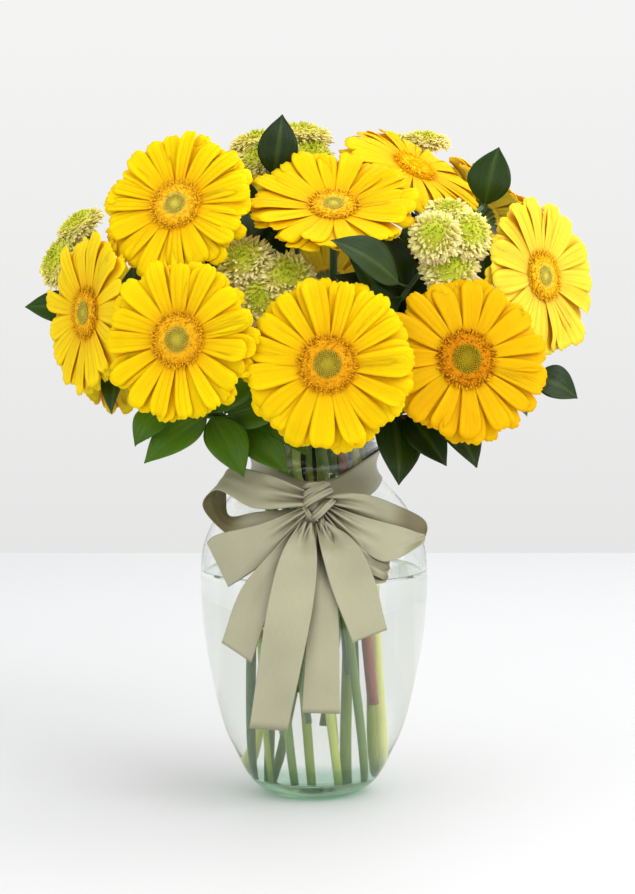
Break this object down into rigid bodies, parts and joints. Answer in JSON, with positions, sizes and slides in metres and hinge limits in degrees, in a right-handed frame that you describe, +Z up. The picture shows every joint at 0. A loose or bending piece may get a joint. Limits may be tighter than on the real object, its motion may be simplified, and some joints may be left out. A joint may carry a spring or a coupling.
{
  "type": "gerbera bouquet in a vase",
  "caption": "Mixed bouquet of yellow gerberas, button chrysanthemums and dark ruscus, in a clear glass vase of water with a ribbon bow tied round its neck.",
  "frame": {"origin": "centre of the vase's foot, on the surface that it stands on", "axes": "+Z up through the vase to the top of the bouquet, -Y to the front with the bow, +X to the right as seen from the front"},
  "size_m": [0.3842, 0.2807, 0.4632],
  "materials": {
    "gerbera_petals": "soft, slightly waxy ray petals, stands in for flower petal",
    "gerbera_disc": "matt, velvety disc florets: an orange ring round an olive eye",
    "green_stems": "fresh green stem with fine hairs, stands in for green plant stem",
    "chrysanthemum_florets": "matt lime florets with cream edges",
    "ruscus_leaves": "glossy, leathery dark leaf with fine parallel veins",
    "ribbon": "ribbed sage ribbon with a satin sheen",
    "vase_glass": "clear, smooth, faintly green glass",
    "water": "clear still water"
  },
  "bodies": {
    "root": {"gerbera_upper_left_petals": "gerbera_petals", "gerbera_upper_left_disc": "gerbera_disc", "gerbera_upper_left_stem": "green_stems", "gerbera_far_left_petals": "gerbera_petals", "gerbera_far_left_disc": "gerbera_disc", "gerbera_far_left_stem": "green_stems", "gerbera_lower_left_petals": "gerbera_petals", "gerbera_lower_left_disc": "gerbera_disc", "gerbera_lower_left_stem": "green_stems", "gerbera_front_petals": "gerbera_petals", "gerbera_front_disc": "gerbera_disc", "gerbera_front_stem": "green_stems", "gerbera_upper_middle_petals": "gerbera_petals", "gerbera_upper_middle_disc": "gerbera_disc", "gerbera_upper_middle_stem": "green_stems", "gerbera_upper_right_petals": "gerbera_petals", "gerbera_upper_right_disc": "gerbera_disc", "gerbera_upper_right_stem": "green_stems", "gerbera_lower_right_petals": "gerbera_petals", "gerbera_lower_right_disc": "gerbera_disc", "gerbera_lower_right_stem": "green_stems", "gerbera_far_right_petals": "gerbera_petals", "gerbera_far_right_disc": "gerbera_disc", "gerbera_far_right_stem": "green_stems", "gerbera_back_right_petals": "gerbera_petals", "gerbera_back_right_disc": "gerbera_disc", "gerbera_back_right_stem": "green_stems", "gerbera_back_left_petals": "gerbera_petals", "gerbera_back_left_disc": "gerbera_disc", "gerbera_back_left_stem": "green_stems", "gerbera_back_middle_petals": "gerbera_petals", "gerbera_back_middle_disc": "gerbera_disc", "gerbera_back_middle_stem": "green_stems", "gerbera_back_far_left_petals": "gerbera_petals", "gerbera_back_far_left_disc": "gerbera_disc", "gerbera_back_far_left_stem": "green_stems", "chrysanthemum_left_heads": "chrysanthemum_florets", "chrysanthemum_left_stem": "green_stems", "chrysanthemum_top_heads": "chrysanthemum_florets", "chrysanthemum_top_stem": "green_stems", "chrysanthemum_centre_left_heads": "chrysanthemum_florets", "chrysanthemum_centre_left_stem": "green_stems", "chrysanthemum_centre_right_heads": "chrysanthemum_florets", "chrysanthemum_centre_right_stem": "green_stems", "chrysanthemum_top_right_heads": "chrysanthemum_florets", "chrysanthemum_top_right_stem": "green_stems", "chrysanthemum_back_right_heads": "chrysanthemum_florets", "chrysanthemum_back_right_stem": "green_stems", "ruscus_left": "ruscus_leaves", "ruscus_lower_left": "ruscus_leaves", "ruscus_lower_right": "ruscus_leaves", "ruscus_top": "ruscus_leaves", "ruscus_right": "ruscus_leaves", "ruscus_back": "ruscus_leaves", "ribbon_band": "ribbon", "ribbon_bow": "ribbon", "ribbon_tails_left": "ribbon", "ribbon_tails_right": "ribbon", "vase": "vase_glass", "water": "water"}
  },
  "joints": []
}
